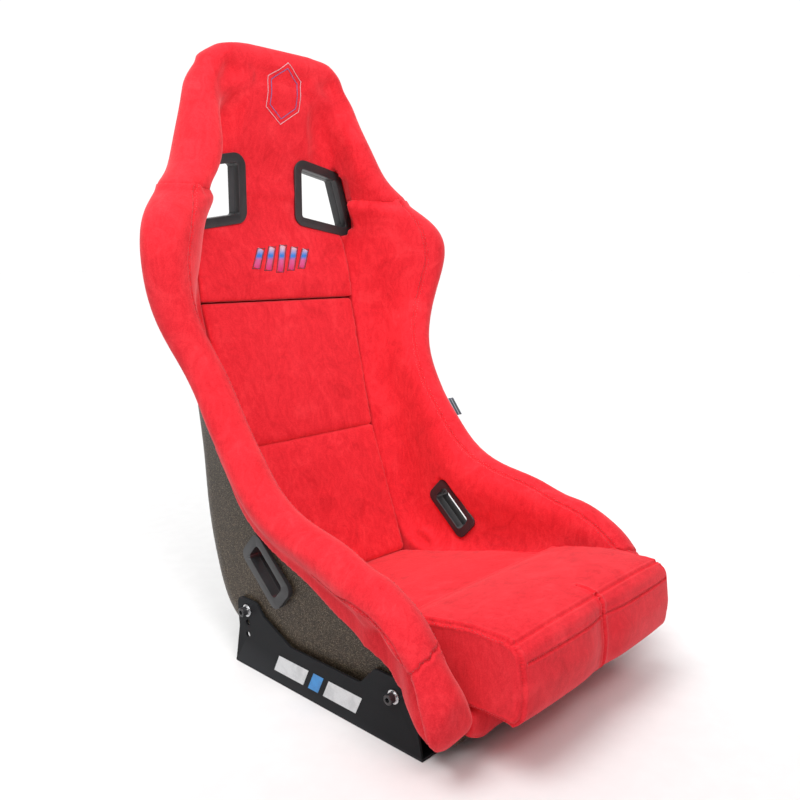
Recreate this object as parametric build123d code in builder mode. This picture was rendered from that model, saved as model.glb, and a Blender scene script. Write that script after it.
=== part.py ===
from build123d import *
from collections import namedtuple
from math import cos, radians, sin
import os

# Fixed-back racing bucket seat on two side brackets, in millimetres.
# +Z is up, -Y is the front, +X is the occupant's left-hand side.
# The origin is at floor level, in the middle of the four side-mount bolts.

# ---------------------------------------------------------------- driving dimensions
SHELL_T = 4.0                # fibreglass wall
GLUE = 0.5                   # glue line between the shell and the upholstery
COVER_T = 2.0                # pad cover fabric with its scrim
FOAM_EASE = 0.3              # between a cover and its foam
PULL_TILT = 18.0             # removable pads pull forwards, this far above the horizontal

BOLT_SPACING = 290.0         # side-mount bolts, front to rear
BOLT_R = 4.0                 # M8
BOLT_HOLE_R = 4.5
FRONT_BOLT_Z = 66.0
REAR_BOLT_Z = 87.0
REAR_HOLE_PITCH = 18.5
REAR_HOLE_COUNT = 3
WEB_OUT = 205.0              # outer face of a bracket's web
WEB_T = 3.5
FLANGE_W = 42.0
BASE_SLOT_X = 368.0          # base slots, centre to centre across the seat
BASE_SLOT_Y = 300.0          # base slots, front to rear
BASE_SLOT_R = 4.5
BASE_SLOT_LENGTH = 18.0
BOSS_R = 21.0
BOSS_OUT = WEB_OUT - WEB_T - 0.1
BOSS_IN = 183.0
PLATE_T = 5.0
PLATE_SIZE = 30.0

UPPER_PAD_TOP = (303, 517)   # front face of the back pads, side view (y, z)
PAD_SPLIT = (240, 297)
LOWER_PAD_FOOT = (163, 82)
UPPER_PAD_TOP_DEPTH = 25.0
PAD_SPLIT_DEPTH = 37.0
LOWER_PAD_FOOT_DEPTH = 47.0
LOOP_T = 1.5                 # woven strip on a pad
HOOK_T = 2.0                 # matching strip on the shell
STRIP_W = 50.0
STRIP_X = 62.0
STRIP_MARGIN = 15.0          # from the ends of a pad
PAD_HALF_TOP = 156.0
PAD_HALF_SPLIT = 144.0
PAD_HALF_FOOT = 148.0

SLEEVE_T = 3.0               # belt opening bezels
BEZEL_FLANGE_T = 4.0
BEZEL_FIT = 0.4
SHOULDER_FACE_Y = 329.0
SHOULDER_SPLIT_Y = 338.0
SHOULDER_FLANGE_W = 15.0
BEZEL_POCKET = 14.0            # padding cut away in front of a shoulder bezel
LAP_CENTRE = (88, 163)
LAP_TILT = 42.0
LAP_FLANGE = (100, 52)
LAP_OPENING = (72, 28)
LAP_INNER_X = 187.0
LAP_OUTER_X = 214.5
LAP_SPLIT_X = 200.0
FLANK_PAD = 23.0              # shell and foam together on a bolster's inner face

# ---------------------------------------------------------------- bucket stations
# Each station is a plane across the bucket through a point (y, z) of the shell's outer
# back or floor. Its depth axis points at the occupant, tilt degrees above straight ahead.
#   corner     half-width where the flat back would meet the straight wall
#   bend       length of wall and back taken up by the rounded corner
#   roll_x/d   centre of the bolster roll, roll_w/h its half-width and its height above that
#   skirt      how far the cover runs down the outside of the wall
#   foot_x/d   edge and depth of the surface between the bolsters
#   lean       extra padding on the bolster's inner flank
Station = namedtuple(
    "Station",
    "y z tilt corner bend roll_x roll_d roll_w roll_h skirt foot_x foot_d lean",
    defaults=[0],
)
HEAD = [
    Station(341, 868, 0, 106, 8, 119, 26, 28, 27, 30, 52, 47),
    Station(344, 848, 0, 113, 10, 131, 30, 28, 28, 34, 54, 48),
    Station(347, 815, 0, 118, 13, 144, 39, 28, 28, 42, 60, 43),
    Station(349, 775, 0, 128, 16, 159, 48, 29, 29, 52, 70, 34),
    Station(350, 735, 0, 150, 20, 175, 57, 31, 30, 66, 84, 21, 6),
    Station(350, 705, 0, 164, 24, 195, 71, 33, 30, 80, 104, 20, 14),
]
SHOULDER = Station(350, 684, 0, 172, 26, 215, 85, 34, 30, 94, 128, 20, 23)
BACK = [
    Station(349, 640, 1, 183, 30, 255, 118, 31, 30, 140, 152, 20, 38),
    Station(346, 590, 5, 182, 34, 272, 128, 28, 29, 156, 158, 30, 34),
    Station(340, 530, 10, 174, 36, 266, 120, 28, 28, 142, 158, 35, 16),
    Station(331, 470, 14, 171, 38, 247, 110, 29, 28, 114, 158, 41),
    Station(319, 405, 16, 172, 42, 223, 113, 28, 28, 78, 154, 46),
    Station(303, 345, 17, 180, 46, 213, 124, 28, 28, 60, 150, 48),
    Station(286, 290, 20, 188, 46, 211, 137, 28, 29, 52, 148, 48),
]
BASE = [
    Station(272, 205, 32.6, 192, 46, 211, 171, 28, 31, 48, 152, 52),
    Station(250, 120, 41, 193, 46, 211, 211, 28, 31, 48, 156, 58),
    Station(215, 58, 45, 193, 42, 211, 246, 28, 31, 50, 158, 62),
    Station(140, 29, 51, 193, 40, 212, 244, 28, 31, 54, 158, 66),
    Station(40, 28, 60, 193, 38, 214, 205, 28, 30, 60, 162, 70),
    Station(-50, 28, 72, 190, 36, 216, 173, 28, 29, 68, 168, 84),
    Station(-120, 28, 83, 186, 34, 218, 158, 28, 30, 84, 176, 92),
]
FRONT = [
    Station(-165, 28, 90, 184, 30, 221, 149, 29, 28, 118, 178, 80),
    Station(-200, 28, 90, 184, 24, 225, 127, 28, 28, 128, 178, 62),
    Station(-222, 28, 90, 185, 12, 228, 103, 27, 28, 110, 178, 44),
]
FRONT_HEM = [(210, 50), (214, 14), (216, 14)]   # cover's lower edge at the front stations
FRONT_TAIL = [(198, -8), (206, -8), (207, 0)]
LIP_Z = 64.0
LIP_Y = -226.0
TIP = [                       # bolster tip beyond the shell: y, low z, high z, inner x, outer x
    (-238, 43, 138, 177, 255),
    (-250, 56, 122, 186, 248),
    (-257, 70, 106, 198, 238),
]
DOME = [                      # top of the head: y, z, half-width, rear depth, front depth
    (337, 908, 78, 22, 38),
    (337, 904, 105, 12, 45),
    (338, 894, 129, 4, 51),
    (340, 882, 142, 0, 54),
]


def section_plane(y, z, tilt):
    """Plane across the bucket: local x is +X, local y is the depth axis."""
    a = radians(tilt)
    return Plane(origin=(0, y, z), x_dir=(1, 0, 0), z_dir=(0, -sin(a), -cos(a)))


def station_plane(s):
    return section_plane(s.y, s.z, s.tilt)


def rim(s):
    return Vector(s.roll_x + 4, s.roll_d + 4)


def wall(s, inset):
    """Flat end, corner, wall start and rim of the shell's surface, moved in by inset."""
    corner = Vector(s.corner, 0)
    along = (rim(s) - corner).normalized()
    inward = Vector(-along.Y, along.X)
    start = corner + along * s.bend + inward * inset
    top = rim(s) + inward * inset
    sharp = start - along * ((start.Y - inset) / along.Y)
    flat = Vector(s.corner - s.bend - inset * 0.4, inset)
    return flat, sharp, start, top, along, inward


def mirrored(points):
    return [(-p[0], p[1]) for p in reversed(points)]


def pair(v):
    return (v.X, v.Y)


def channel(s, inset, closed_at=None):
    """Half-outline points of a channel surface, from the flat to the rim."""
    flat, sharp, start, top, along = wall(s, inset)[:5]
    if closed_at is not None:
        top = top + along * closed_at
    return [pair(flat), pair(sharp), pair(start), pair(top)]


def draw_channel(half):
    """Wall, corner, flat, corner, wall, from the +X rim to the -X rim."""
    flat, sharp, start, top = half
    Line(top, start)
    Bezier(start, sharp, flat)
    Line(flat, (-flat[0], flat[1]))
    Bezier((-flat[0], flat[1]), (-sharp[0], sharp[1]), (-start[0], start[1]))
    Line((-start[0], start[1]), (-top[0], top[1]))


def draw_shell_section(s):
    outer = channel(s, 0)
    inner = channel(s, SHELL_T)
    draw_channel(outer)
    draw_channel(inner)
    Line(outer[3], inner[3])
    Line((-outer[3][0], outer[3][1]), (-inner[3][0], inner[3][1]))


def draw_cutter_section(s):
    """Everything the upholstery may not fill: the wall, and all that lies behind it."""
    inner = channel(s, SHELL_T + GLUE, closed_at=GLUE)
    flat, sharp, start, top, along, inward = wall(s, -GLUE)
    crest = top + along * GLUE
    hem = top - along * min(s.skirt, (top - start).length + s.bend * 0.9)
    flare = hem - inward * 45
    tail = [pair(crest), pair(hem), pair(flare), (s.corner + 70, -90)]
    draw_channel(inner)
    right = [inner[3]] + tail
    Polyline(*right)
    Polyline(*[(-p[0], p[1]) for p in right])
    Line(tail[-1], (-tail[-1][0], tail[-1][1]))


def roll_points(s):
    """Front of the bolster, from the foot over the roll to the hem of the cover."""
    start, top, along = wall(s, -7)[2:5]
    reach = min(s.skirt + 6, (top - start).length + s.bend + 4)
    hem = top - along * reach
    tuck = top - along * min(1.2 * s.roll_h, 0.8 * reach)
    shoulder_d = s.roll_d + 0.66 * s.roll_h
    flank_d = 0.5 * (s.foot_d + shoulder_d)
    wall_x = s.corner + (rim(s).X - s.corner) * flank_d / rim(s).Y
    flank_x = min(wall_x - FLANK_PAD / along.Y, s.roll_x - s.roll_w) - s.lean
    return [
        (s.foot_x, s.foot_d),
        (flank_x, flank_d),
        (s.roll_x - 0.74 * s.roll_w - 0.4 * s.lean, shoulder_d),
        (s.roll_x, s.roll_d + s.roll_h),
        (s.roll_x + 0.75 * s.roll_w, s.roll_d + 0.62 * s.roll_h),
        (s.roll_x + s.roll_w, s.roll_d),
        (s.roll_x + 0.66 * s.roll_w, s.roll_d - 0.66 * s.roll_w),
        pair(tuck),
        pair(hem),
    ]


def dome_points(half, rear, front):
    """The same nine points where the head rounds off over the shell's top edge."""
    deep = front - rear
    return [
        (0.50 * half, front),
        (0.66 * half, front),
        (0.80 * half, front - 0.02 * deep),
        (0.90 * half, front - 0.12 * deep),
        (0.98 * half, rear + 0.66 * deep),
        (half, rear + 0.44 * deep),
        (0.985 * half, rear + 0.30 * deep),
        (0.96 * half, rear + 0.16 * deep),
        (0.92 * half, rear + 0.06 * deep),
    ]


def tip_points(low, high, inner, outer):
    """The same nine points where a bolster rounds off past the shell's front edge."""
    tall = high - low
    wide = outer - inner
    return [
        (inner, low + 0.24 * tall),
        (inner + 0.14 * wide, low + 0.55 * tall),
        (inner + 0.36 * wide, low + 0.86 * tall),
        (inner + 0.60 * wide, high),
        (outer - 0.13 * wide, high - 0.10 * tall),
        (outer, low + 0.62 * tall),
        (outer - 0.01 * wide, low + 0.42 * tall),
        (outer - 0.08 * wide, low + 0.22 * tall),
        (outer - 0.22 * wide, low + 0.06 * tall),
    ]


def draw_half_head_section(points, tail):
    """Closed +X half of the section across the head: front, roll and rear."""
    Line((0, points[0][1]), points[0])
    Spline(*points[:-1])
    Polyline(points[-2], points[-1], tail, (0, tail[1]), (0, points[0][1]))


def draw_bolster_section(points, tail, toe):
    """Closed section of the +X bolster, running on behind the shell's wall."""
    Spline(*points[:-1])
    Polyline(points[-2], points[-1], tail, toe, points[0])


# ---------------------------------------------------------------- shell
CROWN = Station(339, 884, 0, 84, 6, 94, 20, 28, 26, 20, 70, 45)
SHELL_STATIONS = [CROWN] + HEAD + [SHOULDER] + BACK + BASE + FRONT
BOLT_PLACES = [(-BOLT_SPACING / 2, FRONT_BOLT_Z), (BOLT_SPACING / 2, REAR_BOLT_Z)]
RIGHT_SIDE = Plane.YZ
LAP_PLACE = Location((LAP_CENTRE[0], LAP_CENTRE[1], 0), (0, 0, LAP_TILT))
SHOULDER_FLANGE = [(50, 753), (153, 733), (189, 620), (50, 642)]


def lap_outline(size, radius, grow=0.0):
    with Locations(LAP_PLACE):
        RectangleRounded(size[0] + 2 * grow, size[1] + 2 * grow, radius + grow)


def shoulder_outline(grow):
    """Four-sided shoulder-belt outline with round corners, grown from the flange's edge."""
    Polygon(*SHOULDER_FLANGE, align=None)
    fillet(vertices(), 20)
    if grow:
        offset(amount=grow, mode=Mode.REPLACE)


SLEEVE_OUT = SLEEVE_T - SHOULDER_FLANGE_W
with BuildPart() as wall_cutter:
    for station in SHELL_STATIONS:
        with BuildSketch(station_plane(station)):
            with BuildLine():
                draw_cutter_section(station)
            make_face()
    loft()
    with BuildSketch(Plane.YZ.offset(-187)):
        with Locations((LIP_Y + 1.75, 20)):
            Rectangle(4.5, 2 * (LIP_Z + GLUE - 20))
    extrude(amount=374)

with BuildPart() as belt_cutter:
    with BuildSketch(RIGHT_SIDE.offset(160)):
        lap_outline(LAP_OPENING, 7, SLEEVE_T + BEZEL_FIT)
    extrude(amount=100)
    with BuildSketch(Plane.XZ.offset(-400)):
        shoulder_outline(SLEEVE_OUT + BEZEL_FIT)
    extrude(amount=100)
    mirror(about=Plane.YZ)

with BuildPart() as bolt_cutter:
    with BuildSketch(RIGHT_SIDE.offset(BOSS_IN - 30)):
        with Locations(*BOLT_PLACES):
            Circle(BOLT_HOLE_R)
    extrude(amount=60)
    mirror(about=Plane.YZ)

with BuildPart() as shell:
    for station in SHELL_STATIONS:
        with BuildSketch(station_plane(station)):
            with BuildLine():
                draw_shell_section(station)
            make_face()
    loft()
    with BuildSketch(Plane.XZ.offset(-LIP_Y - SHELL_T)):
        with Locations((0, 28)):
            RectangleRounded(2 * 185, 2 * (LIP_Z - 28), 12)
            Rectangle(400, 200, align=(Align.CENTER, Align.MAX), mode=Mode.SUBTRACT)
    extrude(amount=SHELL_T)
    with BuildSketch(RIGHT_SIDE.offset(BOSS_IN)):
        with Locations(*BOLT_PLACES):
            Circle(BOSS_R)
    extrude(amount=BOSS_OUT - BOSS_IN)
    with BuildSketch(RIGHT_SIDE.offset(-BOSS_OUT)):
        with Locations(*BOLT_PLACES):
            Circle(BOSS_R)
    extrude(amount=BOSS_OUT - BOSS_IN)
    add(belt_cutter.part, mode=Mode.SUBTRACT)
    add(bolt_cutter.part, mode=Mode.SUBTRACT)
shell.part.label = "shell"

# ---------------------------------------------------------------- side mounts and hardware
WEB_OUTLINE = [
    (176, 0),
    (165, 58),
    (168, 104),
    (124, 104),
    (108, 88),
    (50, 62),
    (-86, 62),
    (-112, 90),
    (-172, 90),
    (-191, 0),
]
REAR_HOLES = [
    (BOLT_SPACING / 2, REAR_BOLT_Z - REAR_HOLE_PITCH * i) for i in range(REAR_HOLE_COUNT)
]
WASHER_T = 1.6
SPRING_WASHER_T = 2.2
HEAD_T = 8.0
HEAD_R = 6.5
BOLT_POCKET_R = 14.0
LIP_HALF = 174.0
LIP_LOW = 25.0
TAG_SIZE = (34.0, 22.0)       # along the roll, and out of it
TAG_DEPTH = 8.0               # inner end of the tag, out from its plane's origin
TAG_T = 1.6
TAG_PLANE = Plane((213, 126, 329), x_dir=(0, -0.6, -0.8), z_dir=(0, -0.8, 0.6))
BOLT_TIP = BOSS_IN - PLATE_T - 3

with BuildPart() as left_bracket:
    with BuildSketch(RIGHT_SIDE.offset(WEB_OUT - WEB_T)):
        Polygon(*WEB_OUTLINE, align=None)
        top_corners = vertices().sort_by(Axis.Y)[2:]
        fillet(top_corners, 11)
        with Locations(*REAR_HOLES, BOLT_PLACES[0]):
            Circle(BOLT_HOLE_R, mode=Mode.SUBTRACT)
    extrude(amount=WEB_T)
    with BuildSketch(Plane.XY):
        with Locations((WEB_OUT - FLANGE_W / 2, -7.5)):
            RectangleRounded(FLANGE_W, 367, 5)
        with Locations((BASE_SLOT_X / 2, BASE_SLOT_Y / 2), (BASE_SLOT_X / 2, -BASE_SLOT_Y / 2)):
            SlotOverall(BASE_SLOT_LENGTH, 2 * BASE_SLOT_R, mode=Mode.SUBTRACT)
    extrude(amount=WEB_T)
    with BuildSketch(Plane.XY):
        with Locations((WEB_OUT - 1, -7.5)):
            Rectangle(2, 367)
    extrude(amount=WEB_T)

with BuildPart() as left_plates:
    with BuildSketch(RIGHT_SIDE.offset(BOSS_IN - PLATE_T)):
        with Locations(*BOLT_PLACES):
            RectangleRounded(PLATE_SIZE, PLATE_SIZE, 5)
            Circle(BOLT_R + 0.02, mode=Mode.SUBTRACT)
    extrude(amount=PLATE_T)

with BuildPart() as left_flat_washers:
    with BuildSketch(RIGHT_SIDE.offset(WEB_OUT)):
        with Locations(*BOLT_PLACES):
            Circle(9)
            Circle(4.3, mode=Mode.SUBTRACT)
    extrude(amount=WASHER_T)

with BuildPart() as left_spring_washers:
    with BuildSketch(RIGHT_SIDE.offset(WEB_OUT + WASHER_T)):
        with Locations(*BOLT_PLACES):
            Circle(7.2)
            Circle(4.3, mode=Mode.SUBTRACT)
            with Locations((5.5, 0)):
                Rectangle(6, 1.4, mode=Mode.SUBTRACT)
    extrude(amount=SPRING_WASHER_T)

HEAD_X = WEB_OUT + WASHER_T + SPRING_WASHER_T
with BuildPart() as left_bolts:
    with BuildSketch(RIGHT_SIDE.offset(BOLT_TIP)):
        with Locations(*BOLT_PLACES):
            Circle(BOLT_R)
    extrude(amount=HEAD_X - BOLT_TIP)
    with BuildSketch(RIGHT_SIDE.offset(HEAD_X)):
        with Locations(*BOLT_PLACES):
            Circle(HEAD_R)
    extrude(amount=HEAD_T)
    chamfer(faces().sort_by(Axis.X)[-2:].edges(), 0.8)
    with BuildSketch(RIGHT_SIDE.offset(HEAD_X + HEAD_T)):
        with Locations(*BOLT_PLACES):
            RegularPolygon(3.4, 6)
    extrude(amount=-4.5, mode=Mode.SUBTRACT)

# ---------------------------------------------------------------- belt opening bezels
with BuildPart() as left_lap_bezel_inner:
    with BuildSketch(RIGHT_SIDE.offset(LAP_INNER_X - BEZEL_FLANGE_T)):
        lap_outline(LAP_FLANGE, 13)
        with Locations(LAP_PLACE):
            RectangleRounded(*LAP_OPENING, 7, mode=Mode.SUBTRACT)
    extrude(amount=BEZEL_FLANGE_T)
    with BuildSketch(RIGHT_SIDE.offset(LAP_INNER_X)):
        lap_outline(LAP_OPENING, 7, SLEEVE_T)
        with Locations(LAP_PLACE):
            RectangleRounded(*LAP_OPENING, 7, mode=Mode.SUBTRACT)
    extrude(amount=LAP_SPLIT_X - LAP_INNER_X)

with BuildPart() as left_lap_bezel_outer:
    with BuildSketch(RIGHT_SIDE.offset(LAP_OUTER_X - 2 * BEZEL_FLANGE_T)):
        lap_outline(LAP_FLANGE, 13)
        with Locations(LAP_PLACE):
            RectangleRounded(*LAP_OPENING, 7, mode=Mode.SUBTRACT)
    extrude(amount=2 * BEZEL_FLANGE_T)
    add(shell.part, mode=Mode.SUBTRACT)
    with BuildSketch(RIGHT_SIDE.offset(LAP_SPLIT_X)):
        lap_outline(LAP_OPENING, 7, SLEEVE_T)
        with Locations(LAP_PLACE):
            RectangleRounded(*LAP_OPENING, 7, mode=Mode.SUBTRACT)
    extrude(amount=LAP_OUTER_X - LAP_SPLIT_X)

SHOULDER_REAR_Y = 346.2
SHOULDER_OUTER_Y = 354.0
with BuildPart() as left_shoulder_bezel_front:
    with BuildSketch(Plane.XZ.offset(-SHOULDER_FACE_Y)):
        shoulder_outline(0)
    extrude(amount=BEZEL_FLANGE_T)
    with BuildSketch(Plane.XZ.offset(-SHOULDER_SPLIT_Y)):
        shoulder_outline(SLEEVE_OUT)
    extrude(amount=SHOULDER_SPLIT_Y - SHOULDER_FACE_Y)
    with BuildSketch(Plane.XZ.offset(-SHOULDER_SPLIT_Y - 5)):
        shoulder_outline(-SHOULDER_FLANGE_W)
    extrude(amount=60, mode=Mode.SUBTRACT)

with BuildPart() as left_shoulder_bezel_rear:
    with BuildSketch(Plane.XZ.offset(-SHOULDER_OUTER_Y)):
        shoulder_outline(0)
    extrude(amount=SHOULDER_OUTER_Y - SHOULDER_REAR_Y)
    add(shell.part, mode=Mode.SUBTRACT)
    with BuildSketch(Plane.XZ.offset(-SHOULDER_OUTER_Y)):
        shoulder_outline(SLEEVE_OUT)
    extrude(amount=SHOULDER_OUTER_Y - SHOULDER_SPLIT_Y)
    with BuildSketch(Plane.XZ.offset(-SHOULDER_OUTER_Y - 5)):
        shoulder_outline(-SHOULDER_FLANGE_W)
    extrude(amount=60, mode=Mode.SUBTRACT)

# ---------------------------------------------------------------- upholstery on the shell
RECESS_TOP = Station(337, 513, 11, 173, 36, 263, 118, 29, 28, 137, 158, 36)
PANEL_STATIONS = [SHOULDER, BACK[0], BACK[1], RECESS_TOP]
with BuildPart() as head_panel:
    for y, z, half, rear, front in DOME:
        with BuildSketch(section_plane(y, z, 0)):
            with BuildLine():
                draw_half_head_section(dome_points(half, rear, front), (0.80 * half, rear))
            make_face()
    for station in HEAD + [SHOULDER]:
        with BuildSketch(station_plane(station)):
            with BuildLine():
                draw_half_head_section(roll_points(station), (station.corner - 4, -30))
            make_face()
    loft()
    for station in PANEL_STATIONS:
        with BuildSketch(station_plane(station)):
            with Locations((0, -30)):
                Rectangle(
                    station.foot_x - GLUE, station.foot_d + 30, align=(Align.MIN, Align.MIN)
                )
    loft()
    add(wall_cutter.part, mode=Mode.SUBTRACT)
    add(belt_cutter.part, mode=Mode.SUBTRACT)
    with BuildSketch(Plane.XZ.offset(-SHOULDER_FACE_Y)):
        shoulder_outline(0.8)
    extrude(amount=BEZEL_POCKET, mode=Mode.SUBTRACT)
    mirror(about=Plane.YZ)

with BuildPart() as plain_bolster:
    for station in [SHOULDER] + BACK + BASE:
        with BuildSketch(station_plane(station)):
            with BuildLine():
                tail = (station.corner + 40, -60)
                draw_bolster_section(roll_points(station), tail, (station.foot_x, -60))
            make_face()
    for station, hem, tail in zip(FRONT, FRONT_HEM, FRONT_TAIL):
        with BuildSketch(station_plane(station)):
            with BuildLine():
                over = roll_points(station)[:-1] + [hem]
                draw_bolster_section(over, tail, (station.foot_x, tail[1]))
            make_face()
    for y, low, high, inner, outer in TIP:
        with BuildSketch(section_plane(y, 0, 90)):
            with BuildLine():
                wide = outer - inner
                tail = (inner + 0.55 * wide, low)
                toe = (inner + 0.12 * wide, low + 0.06 * (high - low))
                draw_bolster_section(tip_points(low, high, inner, outer), tail, toe)
            make_face()
    loft()
    add(wall_cutter.part, mode=Mode.SUBTRACT)
    add(belt_cutter.part, mode=Mode.SUBTRACT)
    with BuildSketch(RIGHT_SIDE.offset(BOSS_IN - PLATE_T - GLUE)):
        with Locations(*BOLT_PLACES):
            RectangleRounded(PLATE_SIZE + 8, PLATE_SIZE + 8, 6)
            Circle(BOSS_R + 2 * GLUE)
    extrude(amount=WEB_OUT - BOSS_IN + PLATE_T + 1, mode=Mode.SUBTRACT)
    with BuildSketch(RIGHT_SIDE.offset(BOLT_TIP - 4)):
        with Locations(*BOLT_PLACES):
            Circle(BOLT_HOLE_R + 1)
    extrude(amount=12, mode=Mode.SUBTRACT)
    with BuildSketch(RIGHT_SIDE.offset(WEB_OUT - WEB_T - GLUE)):
        Polygon(*WEB_OUTLINE, align=None)
        offset(amount=1)
    extrude(amount=WEB_T + 2 * GLUE, mode=Mode.SUBTRACT)
    with BuildSketch(RIGHT_SIDE.offset(WEB_OUT)):
        with Locations(*BOLT_PLACES):
            Circle(BOLT_POCKET_R)
    extrude(amount=60, mode=Mode.SUBTRACT)
    with BuildSketch(RIGHT_SIDE.offset(LAP_INNER_X)):
        lap_outline(LAP_FLANGE, 13, 0.8)
    extrude(amount=-60, mode=Mode.SUBTRACT)
    with BuildSketch(RIGHT_SIDE.offset(LAP_OUTER_X - 2 * BEZEL_FLANGE_T - GLUE)):
        lap_outline(LAP_FLANGE, 13, 0.8)
    extrude(amount=60, mode=Mode.SUBTRACT)
    with BuildSketch(Plane.XZ.offset(-SHOULDER_FACE_Y)):
        shoulder_outline(0.8)
    extrude(amount=BEZEL_POCKET, mode=Mode.SUBTRACT)

with BuildPart() as left_bolster:
    add(plain_bolster.part)
    with BuildSketch(TAG_PLANE):
        with Locations((0, TAG_DEPTH - GLUE)):
            Rectangle(TAG_SIZE[0] + 0.6, 40, align=(Align.CENTER, Align.MIN))
    extrude(amount=TAG_T / 2 + 0.2, both=True, mode=Mode.SUBTRACT)

with BuildPart() as right_bolster:
    add(mirror(plain_bolster.part, about=Plane.YZ))

with BuildPart() as side_tag:
    with BuildSketch(TAG_PLANE):
        with Locations((0, TAG_DEPTH)):
            Rectangle(*TAG_SIZE, align=(Align.CENTER, Align.MIN))
    extrude(amount=TAG_T / 2, both=True)

with BuildPart() as front_lip_trim:
    with BuildSketch(Plane.YZ.offset(-LIP_HALF)):
        with BuildLine():
            Polyline((LIP_Y - GLUE, LIP_LOW), (LIP_Y - 9, LIP_LOW), (LIP_Y - 13, LIP_LOW + 9))
            Spline(
                (LIP_Y - 13, LIP_LOW + 9),
                (LIP_Y - 13, LIP_LOW + 28),
                (LIP_Y - 7, LIP_Z + 2),
                (LIP_Y + 3, LIP_Z + 3.5),
                (LIP_Y + 10, LIP_Z - 3),
            )
            Polyline(
                (LIP_Y + 10, LIP_Z - 3),
                (LIP_Y + 9, LIP_Z - 16),
                (LIP_Y + SHELL_T + GLUE, LIP_Z - 16),
                (LIP_Y + SHELL_T + GLUE, LIP_Z + GLUE),
                (LIP_Y - GLUE, LIP_Z + GLUE),
                (LIP_Y - GLUE, LIP_LOW),
            )
        make_face()
    extrude(amount=2 * LIP_HALF)

# ---------------------------------------------------------------- removable pads
PULL = Vector(0, -cos(radians(PULL_TILT)), sin(radians(PULL_TILT)))


def pad_side(top, foot, depth_top, depth_foot, inset):
    """Side view of a back pad: its front face from top to foot, its ends along the pull."""
    run = Vector(0, top[0] - foot[0], top[1] - foot[1]).normalized()
    face = Vector(0, -run.Z, run.Y)
    a = Vector(0, *top) - run * inset - face * inset
    b = Vector(0, *foot) + run * inset - face * inset
    c = b - PULL * (depth_foot - 2 * inset)
    d = a - PULL * (depth_top - 2 * inset)
    Polygon(*[(p.Y, p.Z) for p in (a, b, c, d)], align=None)


def pad_front(top, foot, half_top, half_foot, inset):
    """Front view of a back pad, run on past both ends."""
    high = top[1] + 40
    low = foot[1] - 40
    slope = (half_top - half_foot) / (top[1] - foot[1])
    at_high = half_top + slope * 40 - inset
    at_low = half_foot - slope * 40 - inset
    Polygon((-at_low, low), (at_low, low), (at_high, high), (-at_high, high), align=None)


def along_line(top, foot, gap):
    """Shorten a side-view line by a gap at each end."""
    run = Vector(0, top[0] - foot[0], top[1] - foot[1]).normalized()
    a = Vector(0, *top) - run * gap
    b = Vector(0, *foot) + run * gap
    return (a.Y, a.Z), (b.Y, b.Z)


UPPER_PAD = along_line(UPPER_PAD_TOP, PAD_SPLIT, 0.6)
LOWER_PAD = along_line(PAD_SPLIT, LOWER_PAD_FOOT, 0.6)


def back_pad(line, halves, depths, inset):
    """Fill the current part with one back pad, made smaller all round by inset."""
    with BuildSketch(Plane.YZ.offset(-200)) as side:
        pad_side(*line, *depths, inset)
    with BuildSketch(Plane.XZ) as front:
        pad_front(*line, *halves, inset)
    return extrude(side.sketch, 400, mode=Mode.PRIVATE) & extrude(
        front.sketch, 500, both=True, mode=Mode.PRIVATE
    )


UPPER_HALVES = (PAD_HALF_TOP, PAD_HALF_SPLIT)
LOWER_HALVES = (PAD_HALF_SPLIT, PAD_HALF_FOOT)
UPPER_DEPTHS = (UPPER_PAD_TOP_DEPTH, PAD_SPLIT_DEPTH)
LOWER_DEPTHS = (PAD_SPLIT_DEPTH, LOWER_PAD_FOOT_DEPTH)

with BuildPart() as upper_back_cover:
    add(back_pad(UPPER_PAD, UPPER_HALVES, UPPER_DEPTHS, 0))
    add(back_pad(UPPER_PAD, UPPER_HALVES, UPPER_DEPTHS, COVER_T), mode=Mode.SUBTRACT)

with BuildPart() as upper_back_foam:
    add(back_pad(UPPER_PAD, UPPER_HALVES, UPPER_DEPTHS, COVER_T + FOAM_EASE))

with BuildPart() as lower_back_cover:
    add(back_pad(LOWER_PAD, LOWER_HALVES, LOWER_DEPTHS, 0))
    add(back_pad(LOWER_PAD, LOWER_HALVES, LOWER_DEPTHS, COVER_T), mode=Mode.SUBTRACT)

with BuildPart() as lower_back_foam:
    add(back_pad(LOWER_PAD, LOWER_HALVES, LOWER_DEPTHS, COVER_T + FOAM_EASE))

CUSHION_SIDE = [
    (160, 80.4),
    (20, 111),
    (-70, 136),
    (-118, 148),
    (-150, 156),
    (-230, 171),
    (-285, 176),
    (-304, 166),
    (-311, 120),
    (-309, 88),
    (-298, 75),
    (-246, 74),
    (-236, 72.8),
    (-124, 37),
    (150, 38.5),
    (178, 46),
    (198, 56),
    (200, 67.4),
]
CUSHION_PLAN = [
    (150, 205),
    (154, 60),
    (165, -66),
    (170.5, -150),
    (172.5, -262),
    (175.5, -300),
    (166, -315),
]
THIGH_SPLIT_Y = -118.0


def cushion(inset):
    """Seat cushion from its side view and its plan, made smaller all round by inset."""
    with BuildSketch(Plane.YZ.offset(-200)) as side:
        Polygon(*CUSHION_SIDE, align=None)
        if inset:
            offset(amount=-inset, kind=Kind.INTERSECTION, mode=Mode.REPLACE)
    with BuildSketch(Plane.XY.offset(-20)) as plan:
        Polygon(*CUSHION_PLAN, *[(-x, y) for x, y in reversed(CUSHION_PLAN)], align=None)
        if inset:
            offset(amount=-inset, kind=Kind.INTERSECTION, mode=Mode.REPLACE)
    return extrude(side.sketch, 400, mode=Mode.PRIVATE) & extrude(
        plan.sketch, 300, mode=Mode.PRIVATE
    )


with BuildPart() as seat_cushion_cover:
    add(cushion(0))
    add(cushion(COVER_T), mode=Mode.SUBTRACT)

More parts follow.
